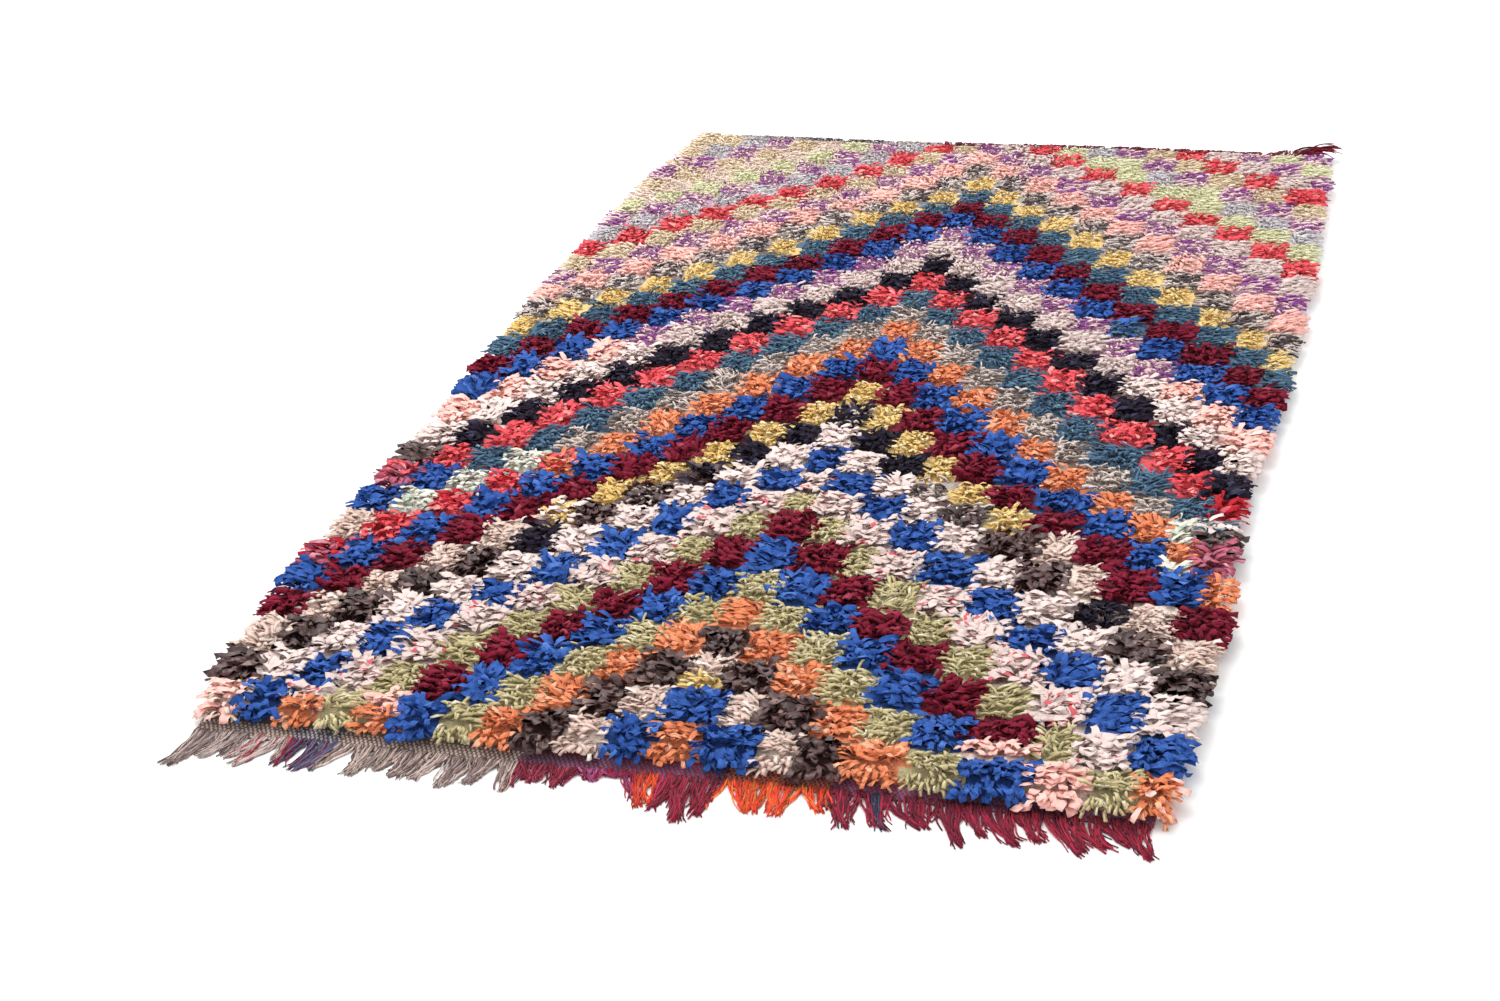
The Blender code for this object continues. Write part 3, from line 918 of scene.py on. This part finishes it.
def rag_material(cloth):
    """Torn cloth: two shades by each strip's own tone and by soft blotches, an accent on some
    strips or flecked through them, painted shade at the root and in the creases, knit ribs along the
    strip."""
    shade = Shade("rag " + cloth.name, cloth.rough, cloth.sheen, linear(cloth.light) ** 0.5)
    place = shade.place()
    tone, tint, along = (shade.attribute(name) for name in ("tone", "tint", "along"))
    depth = PALE_PAINTED_SHADE_AND_BUMP if is_pale(cloth) else FULL_PAINTED_SHADE_AND_BUMP
    blotch = shade.noise(place, 70.0)
    grain = shade.noise(place, 900.0, 3.0)
    mixed = tone * 0.75 + blotch * 0.7 + grain * 0.30 - 0.38
    colour = shade.blend(mixed.clamped(), linear(cloth.deep), linear(cloth.light))
    if cloth.marl:
        fleck = shade.noise(place, 230.0, 1.0)
        mask = (fleck * 0.4 + tint * 1.1) > (1.25 - cloth.share)
    elif cloth.name == "print":
        motif = shade.noise(place, 75.0, 1.0)
        mask = (motif * 1.3 + tint * 0.35) > 1.07
    else:
        mask = tint > (1 - cloth.share)
    colour = shade.blend(mask, colour, linear(cloth.accent))
    # painted shade: the colour darkens toward each strip's root, where the strips shade each other
    colour = shade.darkened(colour, (along * depth.gain + depth.root).clamped())
    strip = shade.strip()
    creases = shade.noise(strip, 5.5, 2.0, (1.0, 0.20, 1.0))
    # painted shade: where the stretched crease noise is low, the colour is blended toward a darkened
    # deep colour, as shade in the creases
    crease = ((0.50 - creases) * 7.0).clamped() * depth.crease
    colour = shade.blend(crease, colour, linear(cloth.deep) * depth.tint)
    ribs = shade.noise(strip, 11.0, 2.0, (1.0, 0.16, 1.0))
    fold = shade.noise(place, 160.0, 2.0)
    height = ribs * 0.4 + grain * 0.25 + fold * 0.7 + creases * 0.8
    return shade.finish(colour, height, depth.bump, 0.0016)


def foot_material():
    """The dense foot of the pile: each block's own cloth, darkened in noise lumps as painted shade
    for the depths between the strip roots.
    """
    shade = Shade("pile foot", 0.95, 0.1)
    place = shade.place()
    lump = shade.noise(place, 260.0, 3.0)
    fine = shade.noise(place, 900.0, 2.0)
    # painted shade: the foot's colour falls to 0.64 of the cloth's in noise lumps, standing for
    # shade deep in the pile
    depth = (lump * 1.4 - 0.15).clamped() * 0.36 + 0.64
    colour = shade.darkened(shade.attribute("cloth", "Color"), depth)
    return shade.finish(colour, lump * 0.8 + fine * 0.2, 1.0, 0.004)


def woven_material():
    """Weft-faced ground: two wefts in small checks, ribbed by the warp under them."""
    shade = Shade("woven ground", 0.92, 0.15)
    place = shade.place()
    grain = shade.noise(place, 1300.0, 2.0)
    twist = shade.noise(place, 420.0, 2.0, (0.5, 1.6, 1.0))
    colour = shade.darkened(shade.attribute("weft", "Color"), grain * 0.5 + twist * 0.5 + 0.42)
    return shade.finish(colour, grain * 0.4 + twist * 0.6, 0.7, 0.0010)


def fringe_material():
    """Warp yarn: its run's colour, lighter and darker plies twisted along it."""
    shade = Shade("fringe yarn", 0.9, 0.08)
    tone = shade.attribute("tone")
    grain = shade.noise(shade.place(), 700.0, 3.0)
    colour = shade.darkened(shade.attribute("yarn", "Color"), grain * 0.6 + tone * 0.8 + 0.22)
    across = shade.add("ShaderNodeSeparateXYZ", {}, {0: shade.strip()})
    along = Value(shade, across.socket.node.outputs[1])
    ply = (across * 12.0 + along * 22.0).sine()
    return shade.finish(colour, ply * 0.5 + grain * 0.5, 0.6, 0.0008)


# ---------------------------------------------------------------- the pieces

def declare(piece, slot, *nodes):
    """Say what a finished piece rides on and hide the imported parts that it stands for."""
    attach(piece, "root")
    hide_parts(*nodes)


def rag_pile(blocks):
    """The strips of the pile, one joined piece for each cloth."""
    for seed, cloth in enumerate(CLOTHS):
        rng = np.random.default_rng(100 + seed)
        batch = Batch()
        own = [block for block in blocks if block.cloth == cloth.name]
        near_rings = 5 if cloth.width > BROAD_FROM else 4
        knot_strips(batch, cloth, [b for b in own if b.row < NEAR_ROWS], near_rings, rng)
        far_cloth = cloth
        if is_fluffy(cloth):
            far_cloth = cloth._replace(sides=3, width=min(cloth.width, FAR_ROUND))
        knot_strips(batch, far_cloth, [b for b in own if b.row >= NEAR_ROWS], 3, rng)
        piece = batch.piece("rags_" + cloth.name, folded=bool(cloth.edges))
        piece.data.materials.append(rag_material(cloth))
        declare(piece, "rag_pile", "rug_pile")


# The grid of the pile's foot: its columns, and its steps for each of them and each row
FOOT_COLUMNS = 22
FOOT_STEPS = 4
# How far the cloths' colours stray over the lines between blocks
COLOUR_STRAY = 0.006


def foot_colour(cloth):
    """The mean colour of a cloth's strips; for a pale rag, painted light: its lighter one brightened
    by a quarter.
    """
    plain = linear(cloth.light) * 0.6 + linear(cloth.deep) * 0.4
    # painted light: under a pale rag the foot is brighter than the cloth, standing for light passed
    # down between the strips
    if is_fluffy(cloth):
        plain = np.minimum(linear(cloth.light) * 1.25, 0.95)
    flecked = cloth.share if cloth.marl else 0
    return plain * (1 - flecked) + linear(cloth.accent) * flecked


def nearest_block(spots, middles):
    """The index of the block whose middle is nearest to each spot."""
    nearest = np.empty(len(spots), int)
    # in 40 lots, because one table of all the distances would be large
    for part in np.array_split(np.arange(len(spots)), 40):
        away = spots[part][:, None, :] - middles[None]
        nearest[part] = np.argmin((away ** 2).sum(-1), axis=1)
    return nearest


def pile_foot(blocks):
    """The dense lower pile: a grid over the rug, a low dome on each block, closed below.

    Height is low + (high - low) * (1 - u^4) * (1 - v^4) over each block's u and v, plus noise,
    with a little more under pale cloths, and the rim goes straight down. Each face takes the
    cloth of the block under a point shifted a little at random, so that the colours meet in
    an uneven line.
    """
    rng = np.random.default_rng(5)
    lines = row_lines()
    steps = np.arange(FOOT_STEPS) / FOOT_STEPS
    depths = np.asarray(ROW_DEPTHS)
    along = np.append((lines[:-1, None] + depths[:, None] * steps).ravel(), lines[-1])
    v = np.append(np.tile(steps * 2 - 1, len(depths)), -1)
    share = np.linspace(0, 1, FOOT_COLUMNS * FOOT_STEPS + 1)
    u = np.append(np.tile(steps * 2 - 1, FOOT_COLUMNS), -1)
    left = -side_reach(along, "left") + FOOT_INSET
    right = side_reach(along, "right") - FOOT_INSET
    x = left[:, None] + (right - left)[:, None] * share
    drawn_in = NEAR_INSET + along * (PILE_LENGTH - NEAR_INSET - FAR_INSET) / PILE_LENGTH
    row_place = np.append((np.arange(len(depths))[:, None] + steps).ravel(), len(depths))
    sags = sag(np.broadcast_to(row_place[:, None], x.shape), x)
    y = (drawn_in - PILE_LENGTH / 2)[:, None] + end_shift(x) - sags
    dome = (1 - v ** 4)[:, None] * (1 - u ** 4)[None, :]
    z = FOOT_LOW + (FOOT_HIGH - FOOT_LOW) * dome + rng.uniform(-FOOT_NOISE, FOOT_NOISE, x.shape)
    near_slope = 1 - 0.5 * np.clip(1 - along / 0.03, 0, 1)
    z = z * far_edge_fall(x, along[:, None]) * near_slope[:, None]
    middles = np.array([(block.x, block.y) for block in blocks])
    cloths = [CLOTH[block.cloth] for block in blocks]
    pale = np.array([
        is_pale(cloth) and not cloth.marl and block.row < NEAR_ROWS
        for block, cloth in zip(blocks, cloths)
    ])
    under = nearest_block(np.stack([x, y], -1).reshape(-1, 2), middles)
    z = z + PALE_FOOT_RISE * (pale[under].reshape(x.shape) * np.sqrt(dome))
    top = np.stack([x + PATTERN_X, y + PATTERN_Y, z], -1)
    points, faces = closed_downwards(top, GROUND_THICKNESS - 0.0008)
    spots = face_middles(points, faces)[:, :2] - (PATTERN_X, PATTERN_Y)
    spots = spots + rng.normal(size=spots.shape) * COLOUR_STRAY
    colours = np.array([foot_colour(cloth) for cloth in cloths])
    shades = colours[nearest_block(spots, middles)]
    piece = make_piece("pile_foot", points, faces, colours={"cloth": shades})
    piece.data.materials.append(foot_material())
    declare(piece, "rag_pile", "rug_pile")


# The woven bands: the pitch of warp and weft, the height of a knuckle of weft over the warp,
# how far each band runs on under the pile, and the ground's width for the count of its warp
WARP_PITCH = 0.0064
WEFT_PITCH = 0.0042
KNUCKLE = 0.0012
NEAR_BAND_UNDER = 0.016
FAR_BAND_UNDER = 0.006
GROUND_WIDTH = 1.28
CHECKED = 0.90


def run_at(runs, share):
    """The index of the run at each share of a band."""
    return np.searchsorted([run.start for run in runs], share, side="right") - 1


def weft_colours(runs, spot, cell):
    """Each face's weft at a share of the band: the first where cell is 0, the second where 1."""
    pairs = np.array([(linear(run.weft), linear(run.second)) for run in runs])
    return pairs[run_at(runs, np.clip(spot, 0, 1)), cell]


def woven_ground():
    """The woven ground from one fringe to the other: a thin sheet, ribbed at both bands.

    Its top is level under the pile. On the bands each weft is three steps wide: the first is
    low by half a knuckle, and the other two are high by half a knuckle over every second
    warp and low by 0.15 of one between. Its sides run along the foot of the pile.
    """
    rng = np.random.default_rng(6)
    near_edge, far_edge, step = -PILE_LENGTH / 2, PILE_LENGTH / 2, WEFT_PITCH / 2
    near = np.arange(near_edge - NEAR_BAND_WIDTH, near_edge + NEAR_BAND_UNDER, step)
    far = np.arange(far_edge - FAR_BAND_UNDER, far_edge + FAR_BAND_WIDTH, step)
    under = np.linspace(near[-1], far[0], 12)[1:-1]
    line = np.concatenate([near, under, far])
    banded = np.concatenate([np.ones(len(near)), np.zeros(len(under)), np.ones(len(far))])
    along = np.clip(line + PILE_LENGTH / 2, 0, PILE_LENGTH)
    wide = 2 * int(round(GROUND_WIDTH / WARP_PITCH))
    left = -side_reach(along, "left") + BAND_INSET_LEFT
    right = side_reach(along, "right") - OVERHANG
    x = left[:, None] + (right - left)[:, None] * np.linspace(0, 1, wide + 1)
    y = line[:, None] + end_shift(x)
    column, pick = np.arange(wide + 1)[None, :], np.arange(len(line))[:, None]
    over = (column + pick // 3) % 2 == 0
    knuckle = np.where(over, 1.0, 0.35) * np.where(pick % 3 == 0, 0.0, 1.0)
    z = GROUND_THICKNESS + KNUCKLE * (knuckle - 0.5) * banded[:, None]
    top = np.stack([x + PATTERN_X, y + PATTERN_Y, z], -1)
    points, faces = closed_downwards(top, 0.0)
    middle = face_middles(points, faces)
    spot = (middle[:, 0] - PATTERN_X - left.mean()) / (right.mean() - left.mean())
    cell = np.zeros(len(middle), int)
    dots = over[:-1, :-1] & (pick[:-1] % 3 != 2)
    cell[:dots.size] = (dots & (rng.random(dots.shape) < CHECKED)).ravel()
    is_near = middle[:, 1] - PATTERN_Y < 0
    colour = np.where(
        is_near[:, None], weft_colours(NEAR_RUNS, spot, cell), weft_colours(FAR_RUNS, spot, cell)
    )
    piece = make_piece("woven_ground", points, faces, colours={"weft": colour})
    piece.data.materials.append(woven_material())
    declare(piece, "warp_band", "near_fringe", "far_fringe")


# Where a fringe yarn leaves its band, as shares of the band's width, how thick it is, and
# the rings and corners of its mesh
FRINGE_ROOTS = (0.45, 0.97)
YARN_WIDTH = (0.0028, 0.0043)
YARN_RINGS = 8
YARN_SIDES = 3
# Bunches: how much their lengths and leans stray, how much further than its pitch a bunch
# spreads at the band, how much shorter its outer yarns are, and the share of their way to
# the bunch's middle that the yarns are drawn
BUNCH_LENGTHS = (0.72, 1.20)
BUNCH_LEAN = 0.13
BUNCH_SPREAD = 1.35
TRIMMED = (0.15, 0.90)
DRAWN_TOGETHER = (0.30, 0.95)
# The yarns' sideways wave at its most and its turns, how high they heap on each other, how
# much they rise to leave the band, and a full turn of the wave in radians
YARN_WAVE = 0.0030
WAVE_TURNS = (0.8, 1.8)
YARN_HEAP = 0.0030
YARN_STEP = 0.0032
FULL_TURN = 6.28


def yarn_points(root, heading, bend, lean, fall, length, width, rng):
    """Points of loose yarns: round strips that thin toward the tip."""
    level, still = np.zeros(len(root)), np.zeros((len(root), 2))
    return strip_points(
        root, heading, bend, lean, fall, length, width, level, still, YARN_RINGS, YARN_SIDES, rng,
        taper=0.6, rough_edge=0.05,
    )


def yarn_piece(name, points, length, width, main, accent, share, node, rng):
    """Yarns as one joined piece: that share of them has the accent's colour."""
    count = len(points)
    batch = Batch()
    batch.add(points, length, width, rng.random(count), rng.random(count))
    piece = batch.piece(name)
    shades = np.where(rng.random(count)[:, None] < share, accent, main)
    per_point = np.repeat(shades, YARN_RINGS * YARN_SIDES, axis=0)
    put_colours(piece.data, "yarn", "POINT", per_point)
    piece.data.materials.append(fringe_material())
    declare(piece, "warp_band", node)


def fringe(name, end, band_width, runs, bunches, per_bunch, node, seed):
    """Loose warp at one end: bunches of yarns that draw together and rest on the floor.

    A yarn leaves the band at its own place and turns into its run's lean. Over its length it is
    drawn to the middle of its bunch by a share of that distance * s^2 * (3 - 2 s), and it
    waves sideways by the wave * s * a sine of s.
    """
    rng = np.random.default_rng(seed)
    along = 0.0 if end < 0 else PILE_LENGTH
    left = -side_reach(along, "left") + BAND_INSET_LEFT
    right = side_reach(along, "right") - OVERHANG
    pitch = (right - left) / bunches
    bunch = np.repeat(np.arange(bunches), per_bunch)
    n = bunch.size
    middle = left + pitch * (np.arange(bunches) + 0.5 + rng.uniform(-0.25, 0.25, bunches))
    share = np.clip((middle - left) / (right - left), 0, 0.9999)
    run_length = np.array([run.length for run in runs])[run_at(runs, share)]
    run_length = run_length * rng.uniform(*BUNCH_LENGTHS, bunches)
    run_lean = np.interp(share, [run.start for run in runs], [run.lean for run in runs])
    run_lean = run_lean + rng.normal(size=bunches) * BUNCH_LEAN

    # where each yarn starts, how long it is and which way it turns
    aside = (rng.random(n) - 0.5) * pitch * BUNCH_SPREAD
    root_x = np.clip(middle[bunch] + aside, left + 0.002, right - 0.002)
    rooted = band_width * rng.uniform(*FRINGE_ROOTS, n)
    trimmed = 1.06 - 0.12 * rng.random(n) - rng.uniform(*TRIMMED, n) * np.abs(aside) / pitch
    length = run_length[bunch] * trimmed + band_width - rooted
    drawn = (middle[bunch] - root_x) * rng.uniform(*DRAWN_TOGETHER, n)
    swing = np.arctan2(end * 1.0, run_lean[bunch]) - end * math.pi / 2
    heading = end * math.pi / 2 + swing * 0.3
    y = end * (PILE_LENGTH / 2 + rooted) + end_shift(root_x)
    root = np.stack([root_x + PATTERN_X, y + PATTERN_Y, np.zeros(n)], -1)
    flat = np.full(n, math.pi / 2)
    width = rng.uniform(*YARN_WIDTH, n)
    bend = swing * 1.4 + rng.normal(size=n) * 0.12
    points = yarn_points(root, heading, bend, flat, flat, length, width, rng)

    # the bunch draws together and the yarns wave, then they step down from band to floor
    s = np.linspace(0, 1, YARN_RINGS)[None, :]
    phase, turns = rng.random(n)[:, None] * FULL_TURN, rng.uniform(*WAVE_TURNS, n)[:, None]
    wave = YARN_WAVE * np.sin(phase + turns * FULL_TURN * s) * s
    points[..., 0] += (wave + drawn[:, None] * s * s * (3 - 2 * s))[:, :, None]
    spine_y = points[..., 1].mean(axis=2)
    past = (spine_y - PATTERN_Y - end_shift(points[..., 0].mean(axis=2) - PATTERN_X)) * end
    past = np.clip((past - PILE_LENGTH / 2 - band_width + 0.006) / 0.016, 0, 1)
    down = past * past * (3 - 2 * past)
    rest = width[:, None] * 0.45 + YARN_STEP * (1 - down)
    heap = YARN_HEAP * rng.random(n)[:, None] * np.sin(np.pi * np.clip(s * 1.2, 0, 1))
    points[..., 2] += (rest + heap * (1 - 0.6 * s))[:, :, None]

    own = run_at(runs, np.clip((root_x - left) / (right - left), 0, 0.9999))
    main = np.array([linear(run.yarn) for run in runs])[own]
    accent = np.array([linear(run.accent) for run in runs])[own]
    part = np.array([run.share for run in runs])[own, None]
    yarn_piece(name, points, length, width, main, accent, part, node, rng)


# The tuft at the far right corner: its yarns, where they start across the rug, their lengths
# and colours, and the share that has the second colour
TUFT_YARNS = 34
TUFT_START = 0.572
TUFT_LENGTHS = (0.045, 0.075)
TUFT_COLOURS = ("#8e2038", "#6b1428")
TUFT_SHARE = 0.4


def corner_tuft():
    """A tuft of warp at the far right corner that lies out along the edge of the pile.

    Its yarns start close together and head for +X, each at its own small angle.
    """
    rng = np.random.default_rng(9)
    n = TUFT_YARNS
    x = TUFT_START + 0.035 * rng.random(n)
    y = PILE_LENGTH / 2 - 0.012 + 0.022 * rng.random(n) + end_shift(x)
    root = np.stack([x + PATTERN_X, y + PATTERN_Y, 0.010 + 0.010 * rng.random(n)], -1)
    length, width = rng.uniform(*TUFT_LENGTHS, n), rng.uniform(*YARN_WIDTH, n)
    heading, bend = rng.normal(size=n) * 0.22 + 0.10, rng.normal(size=n) * 0.3 - 0.2
    lean, fall = rng.uniform(0.9, 1.2, n), rng.uniform(1.75, 2.0, n)
    points = yarn_points(root, heading, bend, lean, fall, length, width, rng)
    main, accent = (linear(colour) for colour in TUFT_COLOURS)
    yarn_piece(
        "corner_yarns", points, length, width, main, accent, TUFT_SHARE, "far_fringe", rng
    )


# ---------------------------------------------------------------- camera, floor and light

FLOOR_REACH = 12.0
FLOOR_GREY = 0.86
SURROUND_STRENGTH = 1.22
LAMP_SIZE = 3.4
LAMP_ENERGY = 118
LAMP_PLACE = (-1.5, 1.1, 3.7)
LAMP_TILT = (-14, -32, 0)
# The camera's place, and its own right, down and forward as directions in the rug's frame
CAMERA_LENS = 65.859
CAMERA_PLACE = (0.9995, -4.0221, 1.809)
CAMERA_RIGHT = (0.96408, 0.25989, -0.05484)
CAMERA_DOWN = (0.06510, -0.43135, -0.89983)
CAMERA_FORWARD = (-0.25752, 0.86394, -0.43278)


def stage_and_light():
    """A pale floor, an even pale surround and one large soft light from the upper left."""
    corners = [(-1, -1, 0), (1, -1, 0), (1, 1, 0), (-1, 1, 0)]
    floor = make_piece("floor", np.array(corners) * FLOOR_REACH, [np.array([[0, 1, 2, 3]])])
    material = bpy.data.materials.new("pale floor")
    material.use_nodes = True
    shader = material.node_tree.nodes["Principled BSDF"]
    shader.inputs["Base Color"].default_value = (FLOOR_GREY, FLOOR_GREY, FLOOR_GREY, 1)
    shader.inputs["Roughness"].default_value = 0.9
    floor.data.materials.append(material)
    world = bpy.data.worlds.new("surround")
    world.use_nodes = True
    background = world.node_tree.nodes["Background"]
    background.inputs["Color"].default_value = (1, 1, 1, 1)
    background.inputs["Strength"].default_value = SURROUND_STRENGTH
    bpy.context.scene.world = world
    light = bpy.data.lights.new("soft light", "AREA")
    light.shape = "DISK"
    light.size = LAMP_SIZE
    light.energy = LAMP_ENERGY
    lamp = bpy.data.objects.new("soft light", light)
    lamp.location = LAMP_PLACE
    lamp.rotation_euler = [math.radians(angle) for angle in LAMP_TILT]
    bpy.context.scene.collection.objects.link(lamp)
    bpy.context.scene.view_settings.view_transform = "Standard"


def place_camera():
    """The photograph's viewpoint: above the near right corner, looking down the rug."""
    camera = bpy.data.cameras.new("camera")
    camera.lens = CAMERA_LENS
    camera.sensor_width = 36.0
    camera.sensor_fit = "HORIZONTAL"
    eye = bpy.data.objects.new("camera", camera)
    own_axes = zip(CAMERA_RIGHT, CAMERA_DOWN, CAMERA_FORWARD)
    turned = Matrix([[right, -down, -forward] for right, down, forward in own_axes]).to_4x4()
    eye.matrix_world = Matrix.Translation(CAMERA_PLACE) @ turned
    bpy.context.scene.collection.objects.link(eye)
    bpy.context.scene.camera = eye


def main():
    """Make every piece of the rug, then the floor and the light round it."""
    place_camera()
    blocks = knotted_blocks()
    pile_foot(blocks)
    rag_pile(blocks)
    woven_ground()
    fringe("near_yarns", -1, NEAR_BAND_WIDTH, NEAR_RUNS, 38, 31, "near_fringe", 7)
    fringe("far_yarns", 1, FAR_BAND_WIDTH, FAR_RUNS, 60, 8, "far_fringe", 8)
    corner_tuft()
    stage_and_light()


main()
